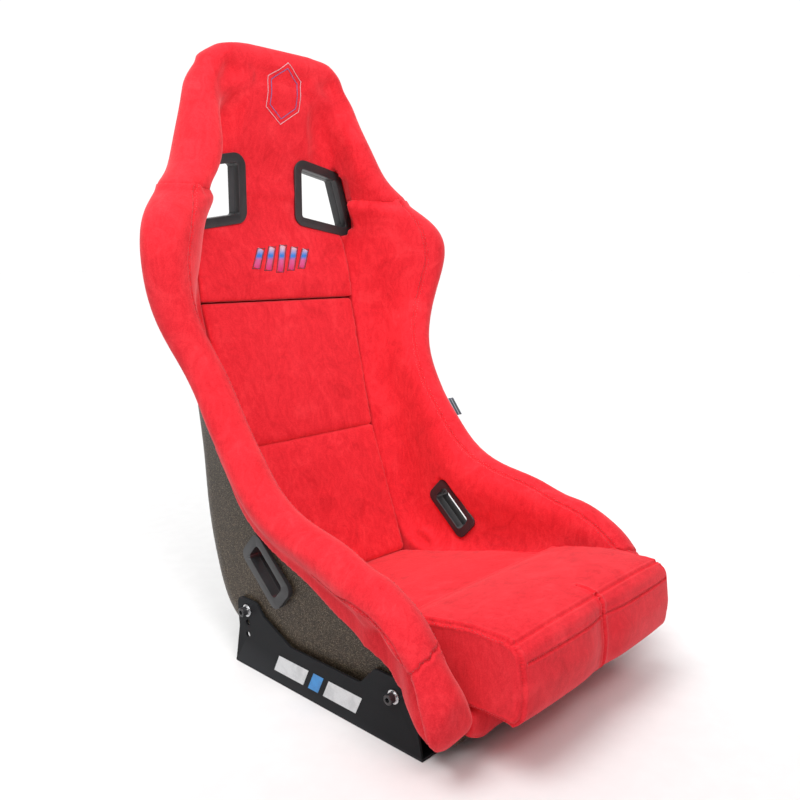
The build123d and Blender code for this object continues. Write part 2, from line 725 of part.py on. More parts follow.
with BuildPart() as seat_foam:
    add(cushion(COVER_T + FOAM_EASE))
    split(bisect_by=Plane.XZ.offset(-THIGH_SPLIT_Y - FOAM_EASE), keep=Keep.BOTTOM)

with BuildPart() as thigh_foam:
    add(cushion(COVER_T + FOAM_EASE))
    split(bisect_by=Plane.XZ.offset(-THIGH_SPLIT_Y + FOAM_EASE), keep=Keep.TOP)

# ---------------------------------------------------------------- hook and loop strips
SEAT_STRIP = [(-90, 37.15), (110, 38.25), (110, 36.75), (-90, 35.65)]


def loop_side(line, depths):
    """Side view of a woven strip on a back pad's rear face."""
    high = Vector(0, *line[0]) - PULL * depths[0]
    low = Vector(0, *line[1]) - PULL * depths[1]
    run = (high - low).normalized()
    a = high - run * STRIP_MARGIN
    b = low + run * STRIP_MARGIN
    points = [a, b, b - PULL * LOOP_T, a - PULL * LOOP_T]
    return [(p.Y, p.Z) for p in points]


with BuildPart() as upper_back_loop_strips:
    with BuildSketch(RIGHT_SIDE.offset(STRIP_X - STRIP_W / 2)):
        Polygon(*loop_side(UPPER_PAD, UPPER_DEPTHS), align=None)
    extrude(amount=STRIP_W)
    mirror(about=Plane.YZ)

with BuildPart() as lower_back_loop_strips:
    with BuildSketch(RIGHT_SIDE.offset(STRIP_X - STRIP_W / 2)):
        Polygon(*loop_side(LOWER_PAD, LOWER_DEPTHS), align=None)
    extrude(amount=STRIP_W)
    mirror(about=Plane.YZ)

with BuildPart() as seat_loop_strips:
    with BuildSketch(RIGHT_SIDE.offset(STRIP_X - STRIP_W / 2)):
        Polygon(*SEAT_STRIP, align=None)
    extrude(amount=STRIP_W)
    mirror(about=Plane.YZ)

with BuildPart() as hook_band:
    for station in SHELL_STATIONS:
        with BuildSketch(station_plane(station)):
            with Locations((STRIP_X, SHELL_T + GLUE)):
                Rectangle(STRIP_W, HOOK_T, align=(Align.CENTER, Align.MIN))
    loft()
    mirror(about=Plane.YZ)

with BuildPart() as back_hook_strips:
    add(hook_band.part)
    with Locations((0, 275, 307)):
        Box(400, 250, 380, mode=Mode.INTERSECT)

with BuildPart() as seat_hook_strips:
    add(hook_band.part)
    with Locations((0, 10, 40)):
        Box(400, 200, 60, mode=Mode.INTERSECT)

# ---------------------------------------------------------------- both sides, and export
PAIRED = {
    "bracket": left_bracket,
    "lap_bezel_inner": left_lap_bezel_inner,
    "lap_bezel_outer": left_lap_bezel_outer,
    "shoulder_bezel_front": left_shoulder_bezel_front,
    "shoulder_bezel_rear": left_shoulder_bezel_rear,
}
GROUPED = {
    "mount_nut_plates": left_plates,
    "flat_washers": left_flat_washers,
    "spring_washers": left_spring_washers,
    "bracket_bolts": left_bolts,
}
SINGLE = {
    "shell": shell,
    "head_panel": head_panel,
    "left_bolster": left_bolster,
    "right_bolster": right_bolster,
    "front_lip_trim": front_lip_trim,
    "side_tag": side_tag,
    "upper_back_cover": upper_back_cover,
    "upper_back_foam": upper_back_foam,
    "lower_back_cover": lower_back_cover,
    "lower_back_foam": lower_back_foam,
    "seat_cushion_cover": seat_cushion_cover,
    "seat_foam": seat_foam,
    "thigh_foam": thigh_foam,
    "upper_back_loop_strips": upper_back_loop_strips,
    "lower_back_loop_strips": lower_back_loop_strips,
    "seat_loop_strips": seat_loop_strips,
    "back_hook_strips": back_hook_strips,
    "seat_hook_strips": seat_hook_strips,
}


def save(label, part):
    part.label = label
    export_step(part, f"parts/{label}.step")


os.makedirs("parts", exist_ok=True)
for name, piece in SINGLE.items():
    save(name, piece.part)
for name, piece in PAIRED.items():
    save("left_" + name, piece.part)
    with BuildPart() as other:
        add(mirror(piece.part, about=Plane.YZ))
    save("right_" + name, other.part)
for name, piece in GROUPED.items():
    with BuildPart() as group:
        add(piece.part)
        mirror(about=Plane.YZ)
    save(name, group.part)
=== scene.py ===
import bpy
import bmesh
import math
import numpy as np
from mathutils import Matrix, Vector
from mathutils.bvhtree import BVHTree
from mathutils.kdtree import KDTree


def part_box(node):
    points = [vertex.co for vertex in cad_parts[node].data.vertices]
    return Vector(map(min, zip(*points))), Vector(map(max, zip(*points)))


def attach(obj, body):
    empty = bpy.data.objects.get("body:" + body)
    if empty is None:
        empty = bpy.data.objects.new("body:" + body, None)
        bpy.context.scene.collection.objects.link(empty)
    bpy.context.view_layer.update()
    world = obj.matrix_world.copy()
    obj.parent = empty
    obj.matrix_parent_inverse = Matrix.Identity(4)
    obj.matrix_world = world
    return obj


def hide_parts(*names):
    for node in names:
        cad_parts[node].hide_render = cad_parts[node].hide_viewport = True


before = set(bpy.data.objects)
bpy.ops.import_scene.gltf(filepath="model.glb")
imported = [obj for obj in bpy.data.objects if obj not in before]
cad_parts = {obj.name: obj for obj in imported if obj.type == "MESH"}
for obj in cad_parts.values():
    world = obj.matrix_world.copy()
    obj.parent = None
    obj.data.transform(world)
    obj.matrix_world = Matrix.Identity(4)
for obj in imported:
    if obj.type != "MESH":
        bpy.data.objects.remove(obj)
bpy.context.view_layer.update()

MM = 0.001
SIDES = {"left": 1.0, "right": -1.0}


# ---------------------------------------------------------------- materials
class Shader:
    """Small helper that builds one node material on a Principled shader."""

    def __init__(self, name, **values):
        self.material = bpy.data.materials.new(name)
        self.material.use_nodes = True
        self.tree = self.material.node_tree
        self.bsdf = self.tree.nodes["Principled BSDF"]
        for key, value in values.items():
            self.bsdf.inputs[key.replace("_", " ")].default_value = value
        self.coords = self.tree.nodes.new("ShaderNodeTexCoord").outputs["Object"]

    def node(self, kind, **settings):
        made = self.tree.nodes.new(kind)
        for key, value in settings.items():
            setattr(made, key, value)
        return made

    def link(self, a, b):
        self.tree.links.new(a, b)

    def noise(self, scale, detail=4.0, rough=0.6, warp=0.0, stretch=None):
        tex = self.node("ShaderNodeTexNoise")
        tex.inputs["Scale"].default_value = scale
        tex.inputs["Detail"].default_value = detail
        tex.inputs["Roughness"].default_value = rough
        tex.inputs["Distortion"].default_value = warp
        source = self.coords
        if stretch:
            mapping = self.node("ShaderNodeMapping")
            mapping.inputs["Scale"].default_value = stretch
            self.link(source, mapping.inputs["Vector"])
            source = mapping.outputs["Vector"]
        self.link(source, tex.inputs["Vector"])
        return tex.outputs["Fac"]

    def cells(self, scale, feature="F1", output="Color"):
        tex = self.node("ShaderNodeTexVoronoi", feature=feature)
        tex.inputs["Scale"].default_value = scale
        self.link(self.coords, tex.inputs["Vector"])
        return tex.outputs[output]

    def ramp(self, source, stops):
        made = self.node("ShaderNodeValToRGB")
        ramp = made.color_ramp
        ramp.interpolation = "EASE"
        while len(ramp.elements) < len(stops):
            ramp.elements.new(0.5)
        for element, (place, colour) in zip(ramp.elements, stops):
            element.position = place
            element.color = (*colour, 1.0)
        self.link(source, made.inputs["Fac"])
        return made.outputs["Color"]

    def mix(self, factor, a, b):
        made = self.node("ShaderNodeMix", data_type="RGBA")
        for socket, value in ((0, factor), (6, a), (7, b)):
            if isinstance(value, (int, float)):
                made.inputs[socket].default_value = value
            elif isinstance(value, tuple):
                made.inputs[socket].default_value = (*value, 1.0)
            else:
                self.link(value, made.inputs[socket])
        return made.outputs[2]

    def mottled(self, factor, dark, light, broad, fine):
        """Dark-to-light colour from two patterns, each given as (source, start, end)."""
        tones = [
            self.ramp(source, [(start, dark), (end, light)]) for source, start, end in (broad, fine)
        ]
        return self.mix(factor, *tones)

    def colour(self, source):
        self.link(source, self.bsdf.inputs["Base Color"])

    def rough(self, source, low, high):
        span = self.node("ShaderNodeMapRange")
        span.inputs["To Min"].default_value = low
        span.inputs["To Max"].default_value = high
        self.link(source, span.inputs["Value"])
        self.link(span.outputs["Result"], self.bsdf.inputs["Roughness"])

    def bump(self, *layers):
        """layers: (height, strength, distance in metres), stacked."""
        normal = None
        for height, strength, distance in layers:
            made = self.node("ShaderNodeBump")
            made.inputs["Strength"].default_value = strength
            made.inputs["Distance"].default_value = distance
            self.link(height, made.inputs["Height"])
            if normal is not None:
                self.link(normal, made.inputs["Normal"])
            normal = made.outputs["Normal"]
        self.link(normal, self.bsdf.inputs["Normal"])

    def edges(self):
        """Mask of convex edges, which are painted lighter as a painted highlight."""
        geometry = self.node("ShaderNodeNewGeometry")
        return self.ramp(
            geometry.outputs["Pointiness"], [(0.50, (0, 0, 0)), (0.58, (1, 1, 1))]
        )


def suede(name, deep, mid, light):
    """Brushed microfibre: blotches where the nap lies another way, and a short pile."""
    s = Shader(name, Roughness=0.92, Sheen_Weight=0.42, Sheen_Roughness=0.42)
    s.bsdf.inputs["Sheen Tint"].default_value = (1.0, 0.36, 0.38, 1.0)
    s.bsdf.inputs["Specular IOR Level"].default_value = 0.18
    blotch = s.noise(17.0, 5.0, 0.62, 1.3)
    stroke = s.noise(58.0, 4.0, 0.65, 2.2, (1.0, 1.0, 0.45))
    pile = s.noise(620.0, 3.0, 0.75)
    fibre = s.noise(2100.0, 2.0, 0.6, 0.0, (1.0, 1.0, 0.35))
    body = s.ramp(blotch, [(0.30, deep), (0.50, mid), (0.72, light)])
    brushed = s.mix(0.34, body, s.ramp(stroke, [(0.34, deep), (0.66, light)]))
    fuzzy = s.mix(0.30, brushed, s.ramp(pile, [(0.32, deep), (0.70, light)]))
    s.colour(fuzzy)
    s.rough(stroke, 0.84, 0.98)
    s.bump((blotch, 0.10, 0.004), (stroke, 0.16, 0.0016), (pile, 0.42, 0.0005), (fibre, 0.30, 0.0002))
    return s.material


def thread(name, colour, shade):
    """Twisted embroidery and sewing thread."""
    s = Shader(name, Roughness=0.55, Sheen_Weight=0.3)
    twist = s.noise(2600.0, 2.0, 0.5, 0.0, (1.0, 0.4, 1.0))
    s.colour(s.ramp(twist, [(0.35, shade), (0.65, colour)]))
    s.bump((twist, 0.5, 0.0002))
    return s.material


def gelcoat():
    """Clear-coated resin full of fine bronze flake, with a faint orange-peel surface."""
    s = Shader("bronze_flake_gelcoat", Coat_Weight=0.05, Coat_Roughness=0.25)
    s.bsdf.inputs["Specular IOR Level"].default_value = 0.16
    flake = s.cells(1050.0)
    glitter = s.node("ShaderNodeSeparateColor")
    s.link(flake, glitter.inputs["Color"])
    tone = s.ramp(
        glitter.outputs["Red"],
        [
            (0.0, (0.008, 0.005, 0.003)),
            (0.45, (0.040, 0.028, 0.018)),
            (0.80, (0.095, 0.070, 0.045)),
            (1.0, (0.26, 0.20, 0.135)),
        ],
    )
    cloud = s.noise(7.0, 4.0, 0.6, 0.8)
    depth = s.ramp(cloud, [(0.35, (0.020, 0.014, 0.009)), (0.70, (0.050, 0.037, 0.025))])
    s.colour(s.mix(0.30, tone, depth))
    metal = s.node("ShaderNodeMapRange")
    metal.inputs["To Min"].default_value = 0.15
    metal.inputs["To Max"].default_value = 0.35
    s.link(glitter.outputs["Green"], metal.inputs["Value"])
    s.link(metal.outputs["Result"], s.bsdf.inputs["Metallic"])
    s.rough(glitter.outputs["Blue"], 0.34, 0.58)
    peel = s.noise(160.0, 2.0, 0.5)
    s.bump((peel, 0.06, 0.0006), (glitter.outputs["Red"], 0.22, 0.0002))
    return s.material


def moulded(name, base, worn, grain, low, high, shine):
    """Moulded or powder-coated black: fine grain, soft highlight, and a painted highlight on convex
    edges.
    """
    s = Shader(name)
    s.bsdf.inputs["Specular IOR Level"].default_value = shine
    speck = s.noise(grain, 3.0, 0.6)
    patch = s.noise(22.0, 4.0, 0.6, 0.6)
    tone = s.mottled(0.5, base, worn, (patch, 0.3, 0.75), (speck, 0.3, 0.7))
    # convex edges are painted 2.3 times the lighter tone: a painted highlight
    s.colour(s.mix(s.edges(), tone, tuple(2.3 * c for c in worn)))
    s.rough(patch, low, high)
    s.bump((speck, 0.22, 0.00025), (patch, 0.04, 0.001))
    return s.material


def steel(name, dark, light):
    """Bright zinc: turned rings and a little tarnish."""
    s = Shader(name, Metallic=1.0)
    fine = s.noise(900.0, 3.0, 0.6, 0.0, (0.2, 1.0, 1.0))
    patch = s.noise(70.0, 4.0, 0.6, 0.5)
    s.colour(s.mottled(0.45, dark, light, (patch, 0.3, 0.7), (fine, 0.3, 0.7)))
    s.rough(fine, 0.18, 0.36)
    s.bump((fine, 0.15, 0.0001))
    return s.material


def tape(name, dark, light):
    """Woven hook and loop tape: rows of tiny loops over a plain weave."""
    s = Shader(name, Roughness=0.95, Sheen_Weight=0.2)
    loops = s.cells(640.0, "F1", "Distance")
    fuzz = s.noise(900.0, 3.0, 0.7)
    rows = s.ramp(loops, [(0.1, light), (0.6, dark)])
    s.colour(s.mix(0.5, rows, s.ramp(fuzz, [(0.3, dark), (0.7, light)])))
    s.bump((loops, 0.6, 0.0006), (fuzz, 0.3, 0.0003))
    return s.material


def woven_label():
    """Dark damask label with pale bars, woven in fine ribs."""
    s = Shader("woven_label", Roughness=0.7, Sheen_Weight=0.25)
    wave = s.node("ShaderNodeTexWave", wave_type="BANDS", bands_direction="Z")
    wave.inputs["Scale"].default_value = 420.0
    wave.inputs["Distortion"].default_value = 0.6
    s.link(s.coords, wave.inputs["Vector"])
    bars = s.node("ShaderNodeTexWave", wave_type="BANDS", bands_direction="X")
    bars.inputs["Scale"].default_value = 46.0
    s.link(s.coords, bars.inputs["Vector"])
    base = s.ramp(bars.outputs["Fac"], [(0.80, (0.012, 0.014, 0.02)), (0.90, (0.42, 0.50, 0.60))])
    ribs = s.ramp(wave.outputs["Fac"], [(0.2, (0.01, 0.01, 0.015)), (0.8, (0.10, 0.11, 0.13))])
    s.colour(s.mix(0.35, base, ribs))
    s.bump((wave.outputs["Fac"], 0.5, 0.0003))
    return s.material


def graded_thread(name, low, high, stops):
    """Satin stitch whose colour runs through stops between two heights."""
    s = Shader(name, Roughness=0.42, Sheen_Weight=0.35)
    split = s.node("ShaderNodeSeparateXYZ")
    s.link(s.coords, split.inputs["Vector"])
    span = s.node("ShaderNodeMapRange")
    span.inputs["From Min"].default_value = low
    span.inputs["From Max"].default_value = high
    s.link(split.outputs["Z"], span.inputs["Value"])
    fine = s.noise(1800.0, 2.0, 0.5)
    tone = s.ramp(span.outputs["Result"], stops)
    s.colour(s.mix(0.25, tone, s.mix(fine, (0.02, 0.02, 0.03), tone)))
    s.bump((fine, 0.4, 0.0002))
    return s.material


def vinyl(name, base, worn):
    """Cut adhesive film, slightly scuffed."""
    s = Shader(name, Roughness=0.34)
    patch = s.noise(60.0, 4.0, 0.6)
    speck = s.noise(900.0, 3.0, 0.6)
    s.colour(s.mottled(0.4, worn, base, (patch, 0.35, 0.6), (speck, 0.3, 0.55)))
    s.rough(patch, 0.28, 0.45)
    s.bump((speck, 0.15, 0.0001))
    return s.material


RED = suede("red_suede", (0.560, 0.0080, 0.0160), (0.740, 0.0170, 0.0290), (0.880, 0.0420, 0.0560))
RED_THREAD = thread("red_thread", (0.70, 0.018, 0.030), (0.34, 0.005, 0.010))
GELCOAT = gelcoat()
POWDER = moulded(
    "black_powder_coat", (0.0060, 0.0062, 0.0070), (0.0125, 0.0130, 0.0145), 1500.0, 0.50, 0.62, 0.10
)
BEZEL = moulded(
    "black_bezel_plastic", (0.0120, 0.0120, 0.0130), (0.030, 0.030, 0.032), 1100.0, 0.30, 0.46, 0.42
)
OXIDE = moulded(
    "black_oxide_steel", (0.010, 0.010, 0.011), (0.026, 0.026, 0.028), 700.0, 0.22, 0.36, 0.5
)
ZINC = steel("bright_zinc", (0.40, 0.41, 0.42), (0.78, 0.79, 0.80))
TAPE = tape("hook_and_loop_tape", (0.008, 0.008, 0.009), (0.045, 0.045, 0.048))
LABEL = woven_label()
WHITE_VINYL = vinyl("white_vinyl", (0.66, 0.67, 0.68), (0.48, 0.49, 0.50))
BLUE_VINYL = vinyl("blue_vinyl", (0.035, 0.26, 0.62), (0.02, 0.16, 0.42))


# ---------------------------------------------------------------- mesh tools
def node_mesh(name, largest=False):
    """Welded vertices and faces of a CAD node; largest keeps only its outermost shell."""
    bm = bmesh.new()
    bm.from_mesh(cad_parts[name].data)
    bmesh.ops.remove_doubles(bm, verts=bm.verts, dist=2e-6)
    if largest:
        kept = set(max(islands(bm), key=spread))
        bmesh.ops.delete(bm, geom=[v for v in bm.verts if v not in kept], context="VERTS")
    return bm


def islands(bm):
    """The vertices of each connected part."""
    todo = set(bm.verts)
    found = []
    while todo:
        stack = [todo.pop()]
        part = list(stack)
        while stack:
            for edge in stack.pop().link_edges:
                for v in edge.verts:
                    if v in todo:
                        todo.discard(v)
                        stack.append(v)
                        part.append(v)
        found.append(part)
    return found


def spread(part):
    """Volume of the box round a part."""
    co = np.array([v.co for v in part])
    return float(np.prod(co.max(0) - co.min(0) + 1e-6))


def placed(name, data, location=(0, 0, 0)):
    """A scene object for a mesh, lamp or camera."""
    obj = bpy.data.objects.new(name, data)
    bpy.context.scene.collection.objects.link(obj)
    obj.location = location
    return obj


def as_object(bm, name, material):
    """Turn a bmesh into an object of one material, and free it."""
    mesh = bpy.data.meshes.new(name)
    bm.to_mesh(mesh)
    bm.free()
    mesh.materials.append(material)
    return placed(name, mesh)


def shade_smooth(mesh):
    mesh.polygons.foreach_set("use_smooth", [True] * len(mesh.polygons))


def bake_modifiers(obj):
    """Replace the object's mesh by its evaluated one, and drop the modifiers."""
    graph = bpy.context.evaluated_depsgraph_get()
    mesh = bpy.data.meshes.new_from_object(obj.evaluated_get(graph))
    old = obj.data
    material = old.materials[0]
    obj.modifiers.clear()
    obj.data = mesh
    bpy.data.meshes.remove(old)
    mesh.materials.clear()
    mesh.materials.append(material)
    shade_smooth(mesh)


def remesh(obj, voxel):
    modifier = obj.modifiers.new("remesh", "REMESH")
    modifier.mode = "VOXEL"
    modifier.voxel_size = voxel
    bake_modifiers(obj)


def coords_of(mesh):
    co = np.empty(len(mesh.vertices) * 3)
    mesh.vertices.foreach_get("co", co)
    return co.reshape(-1, 3)


def normals_of(mesh):
    no = np.empty(len(mesh.vertices) * 3)
    mesh.vertices.foreach_get("normal", no)
    return no.reshape(-1, 3)


def set_coords(mesh, co):
    mesh.vertices.foreach_set("co", np.ascontiguousarray(co).ravel())
    mesh.update()


SHRINK, GROW = 0.52, -0.535  # the two steps of one relaxing round


def relax(mesh, rounds, keep=None):
    """Volume-keeping smoothing; keep (0 to 1 per vertex) holds points where they are."""
    ends = np.empty(len(mesh.edges) * 2, int)
    mesh.edges.foreach_get("vertices", ends)
    a, b = ends.reshape(-1, 2).T
    co = coords_of(mesh)
    count = len(co)
    degree = np.maximum(np.bincount(a, minlength=count) + np.bincount(b, minlength=count), 1)
    free = 1.0 if keep is None else (1.0 - keep)[:, None]
    for step in (SHRINK, GROW) * rounds:
        mean = np.empty_like(co)
        for k in range(3):
            column = co[:, k]
            total = np.bincount(a, column[b], count) + np.bincount(b, column[a], count)
            mean[:, k] = total / degree
        co = co + step * (mean - co) * free
    set_coords(mesh, co)


def surface(obj):
    """Search tree over an object's faces."""
    mesh = obj.data
    return BVHTree.FromPolygons(
        [v.co[:] for v in mesh.vertices], [tuple(p.vertices) for p in mesh.polygons]
    )


def walk(points, pitch):
    """Evenly spaced points along a polyline."""
    pts = np.array([tuple(p) for p in points], float)
    run = np.r_[0.0, np.cumsum(np.linalg.norm(np.diff(pts, axis=0), axis=1))]
    count = max(2, int(round(run[-1] / pitch)) + 1)
    at = np.linspace(0.0, run[-1], count)
    return np.stack([np.interp(at, run, pts[:, k]) for k in range(3)], 1)


def rounded_path(points, pitch, rounds=6):
    """The polyline with its corners eased."""
    pts = walk(points, pitch)
    for _ in range(rounds):
        pts[1:-1] = 0.25 * pts[:-2] + 0.5 * pts[1:-1] + 0.25 * pts[2:]
    return pts


def on_surface(tree, points):
    """Nearest places and normals on a surface."""
    found = [tree.find_nearest(Vector(p)) for p in points]
    return np.array([f[0][:] for f in found]), np.array([f[1][:] for f in found])


def row_tree(points):
    """Search tree over a row of points."""
    tree = KDTree(len(points))
    for i, p in enumerate(points):
        tree.insert(p, i)
    tree.balance()
    return tree


def refine(obj, path, radius):
    """Split the faces near a path, so that a seam can be cut there."""
    tree = row_tree(path)
    bm = bmesh.new()
    bm.from_mesh(obj.data)
    near = {v for v in bm.verts if tree.find(v.co)[2] < radius}
    edges = [e for e in bm.edges if e.verts[0] in near and e.verts[1] in near]
    bmesh.ops.subdivide_edges(bm, edges=edges, cuts=1, use_grid_fill=True, smooth=0.35)
    bmesh.ops.triangulate(bm, faces=[f for f in bm.faces if len(f.verts) > 4])
    bm.to_mesh(obj.data)
    bm.free()
    shade_smooth(obj.data)


RIDGE_AT = 2.0  # place of the swell beside a groove, in groove widths


def press(obj, path, depth, width, ridge=0.0):
    """Press a groove into the surface along a path, with soft swells beside it."""
    tree = row_tree(path)
    co = coords_of(obj.data)
    no = normals_of(obj.data)
    reach = (RIDGE_AT + 2.5 if ridge else 3.5) * width
    far = np.array([tree.find(p)[2] for p in co])
    near = far < reach
    x = far[near] / width
    move = -depth * np.exp(-x * x) + ridge * np.exp(-((x - RIDGE_AT) ** 2))
    co[near] += no[near] * move[:, None]
    set_coords(obj.data, co)


STITCH_RINGS, STITCH_SIDES = 6, 6


def thread_row(
    name, tree, path, material, body, pitch=4.6, length=3.3, radius=0.42, lift=0.10, cross=False
):
    """A row of separate stitches lying on a surface; sizes in millimetres."""
    places, normals = on_surface(tree, walk(path, pitch * MM))
    tangents = np.gradient(places, axis=0)
    bm = bmesh.new()
    for p, n, t in zip(places, normals, tangents):
        n = Vector(n).normalized()
        t = Vector(t)
        t = t - n * t.dot(n)
        if t.length < 1e-9:
            continue
        t.normalize()
        side = n.cross(t)
        if cross:
            t, side = side, t
        loops = []
        for s in np.linspace(-1, 1, STITCH_RINGS):
            swell = math.sqrt(max(0.0, 1 - abs(s) ** 3)) * 0.92 + 0.08
            rise = lift + 0.34 * (1 - s * s) - 0.18
            centre = Vector(p) + t * (s * length * 0.5 * MM) + n * (rise * MM)
            ring = []
            for k in range(STITCH_SIDES):
                turn = 2 * math.pi * k / STITCH_SIDES
                off = side * math.cos(turn) + n * math.sin(turn)
                ring.append(bm.verts.new(centre + off * radius * swell * MM))
            loops.append(ring)
        for a, b in zip(loops, loops[1:]):
            for k in range(STITCH_SIDES):
                after = (k + 1) % STITCH_SIDES
                bm.faces.new((a[k], a[after], b[after], b[k]))
        bm.faces.new(loops[0][::-1])
        bm.faces.new(loops[-1])
    bmesh.ops.recalc_face_normals(bm, faces=bm.faces)
    obj = as_object(bm, name, material)
    shade_smooth(obj.data)
    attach(obj, body)


def shifted(path, tree, by):
    """The path moved sideways over the surface, by millimetres to its left."""
    places, normals = on_surface(tree, path)
    tangents = np.gradient(places, axis=0)
    side = np.cross(normals, tangents)
    side /= np.maximum(np.linalg.norm(side, axis=1), 1e-9)[:, None]
    return on_surface(tree, places + side * by * MM)[0]


STITCH_DEPTH, STITCH_WIDTH = 0.0010, 0.0013


def sew(obj, body, path, depth, width, rows=(), label="", ridge=0.0006, radius=0.009):
    """Cut a seam into a cover and sew it: rows are sideways places of the stitches, in mm."""
    refine(obj, path, radius)
    press(obj, path, depth, width, ridge)
    lines = [shifted(path, surface(obj), by) for by in rows]
    for line in lines:
        press(obj, line, STITCH_DEPTH, STITCH_WIDTH)
    tree = surface(obj)
    for i, line in enumerate(lines):
        thread_row(f"{label}_{i + 1}", tree, line, RED_THREAD, body)


def shape(node):
    """Low and high corners of a CAD node's box."""
    low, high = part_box(node)
    return np.array(low), np.array(high)


# ---------------------------------------------------------------- hard parts
FLAT_ANGLE, EDGE_ANGLE, SHARP_ANGLE = (math.radians(a) for a in (0.6, 28.0, 19.0))


def bevelled(node, width, material, body, segments=2):
    """A CAD part as it is, with its sharp edges broken."""
    bm = node_mesh(node)
    bmesh.ops.dissolve_limit(
        bm, angle_limit=FLAT_ANGLE, verts=bm.verts, edges=bm.edges, delimit={"NORMAL"}
    )
    obj = as_object(bm, node + "_finished", material)
    edge = obj.modifiers.new("edge", "BEVEL")
    edge.width = width
    edge.segments = segments
    edge.limit_method = "ANGLE"
    edge.angle_limit = EDGE_ANGLE
    bake_modifiers(obj)
    obj.data.set_sharp_from_angle(angle=SHARP_ANGLE)
    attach(obj, body)
    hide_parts(node)


def paint(node, material):
    """Give a CAD part, shown as it is, its material."""
    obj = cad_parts[node]
    obj.data.materials.clear()
    obj.data.materials.append(material)


paint("shell", GELCOAT)
paint("mount_nut_plates", ZINC)
for strips in ("back_hook", "seat_hook", "upper_back_loop", "lower_back_loop", "seat_loop"):
    paint(f"{strips}_strips", TAPE)
for side in SIDES:
    bevelled(f"{side}_bracket", 0.0006, POWDER, "bucket")
    for part in ("shoulder_bezel_front", "shoulder_bezel_rear", "lap_bezel_inner", "lap_bezel_outer"):
        bevelled(f"{side}_{part}", 0.0013, BEZEL, "bucket", segments=3)
bevelled("bracket_bolts", 0.0005, OXIDE, "bucket")
bevelled("flat_washers", 0.0003, ZINC, "bucket")
bevelled("spring_washers", 0.0003, ZINC, "bucket")


# ---------------------------------------------------------------- soft parts
# height where the bolster covers butt against the head cover
SHOULDER_JOIN = float(shape("left_bolster")[1][2])
# the flanks' inward curl: the plane it stands in front of, and the height of its middle
bezel_low, bezel_high = shape("left_shoulder_bezel_front")
BEZEL_FACE = float(bezel_low[1])
CURL_HEIGHT = float(bezel_high[2]) - 0.005
FLANK_X = 0.118  # everything further out than this belongs to a flank
PLUG_RADIUS, PLUG_DEPTH = 0.029, 0.010


def hump(values, middle, width, power=2):
    """1 at the middle, falling smoothly to 0."""
    return np.exp(-(((values - middle) / width) ** power))


def foam_piece(node, name, voxel, rounds, plug=None):
    """Remeshed and relaxed copy of one upholstered CAD solid; plug closes a round pocket."""
    bm = node_mesh(node)
    if plug:
        turn = Matrix.Translation(plug) @ Matrix.Rotation(math.pi / 2, 4, "Y")
        bmesh.ops.create_cone(
            bm, cap_ends=True, segments=32, radius1=PLUG_RADIUS, radius2=PLUG_RADIUS,
            depth=PLUG_DEPTH, matrix=turn,
        )
    obj = as_object(bm, name, RED)
    remesh(obj, voxel)
    co = coords_of(obj.data)
    butted = hump(co[:, 2], SHOULDER_JOIN, 0.005, 4) * (np.abs(co[:, 0]) > FLANK_X)
    relax(obj.data, rounds, 0.85 * butted)
    co = coords_of(obj.data)
    # covers overlap a little at the join
    co[:, 2] += 0.0018 * butted * np.sign(SHOULDER_JOIN - co[:, 2].mean())
    # flanks curl in beside the shoulder openings
    ahead = np.clip((BEZEL_FACE - co[:, 1]) / 0.05, 0, 1)
    curl = ahead**2 * (3 - 2 * ahead) * hump(co[:, 2], CURL_HEIGHT, 0.055)
    curl *= np.clip((np.abs(co[:, 0]) - 0.06) / 0.04, 0, 1)
    co[:, 0] -= 0.009 * curl * np.sign(co[:, 0])
    co[:, 1] -= 0.015 * curl
    if node.endswith("_bolster"):
        # the bolster's inner lip is tucked behind the head cover's
        lip = np.abs(co[(np.abs(co[:, 2] - SHOULDER_JOIN) < 0.006) & (ahead > 0.3), 0]).mean()
        tuck = ahead * np.clip((lip - np.abs(co[:, 0])) / 0.010, 0, 1)
        tuck *= hump(co[:, 2], SHOULDER_JOIN, 0.012)
        co[:, 0] += 0.0050 * tuck * np.sign(co[:, 0])
        co[:, 1] += 0.0030 * tuck
    set_coords(obj.data, co)
    return obj


head = foam_piece("head_panel", "head_cover", 0.0038, 14)
# the plugs lie over the rear nut plates
low, high = shape("mount_nut_plates")
plug_x = 0.5 * (high[0] - low[0]) - 0.0065
bolsters = {}
for side, sign in SIDES.items():
    plug = (sign * plug_x, high[1] - 0.015, high[2] - 0.015)
    bolsters[side] = foam_piece(f"{side}_bolster", f"{side}_bolster_cover", 0.0038, 14, plug)

# the roll's centre line on the left bolster, as fractions of the bolster's box
ROLL = [
    (0.390, 0.869, 1.003),
    (0.429, 0.860, 0.989),
    (0.599, 0.829, 0.950),
    (0.737, 0.801, 0.910),
    (0.809, 0.791, 0.871),
    (0.809, 0.795, 0.831),
    (0.756, 0.798, 0.792),
    (0.704, 0.801, 0.754),
    (0.658, 0.803, 0.726),
    (0.521, 0.786, 0.656),
    (0.449, 0.753, 0.583),
    (0.403, 0.712, 0.512),
    (0.416, 0.661, 0.444),
    (0.416, 0.608, 0.378),
    (0.403, 0.531, 0.330),
    (0.416, 0.437, 0.298),
    (0.449, 0.338, 0.273),
    (0.449, 0.249, 0.253),
    (0.481, 0.165, 0.231),
    (0.527, 0.104, 0.193),
    (0.547, 0.058, 0.130),
]


def in_bolster(fractions, sign):
    """Fractions of the left bolster's box as places, mirrored for the right one."""
    low, high = shape("left_bolster")
    return (low + np.array(fractions) * (high - low)) * (sign, 1, 1)


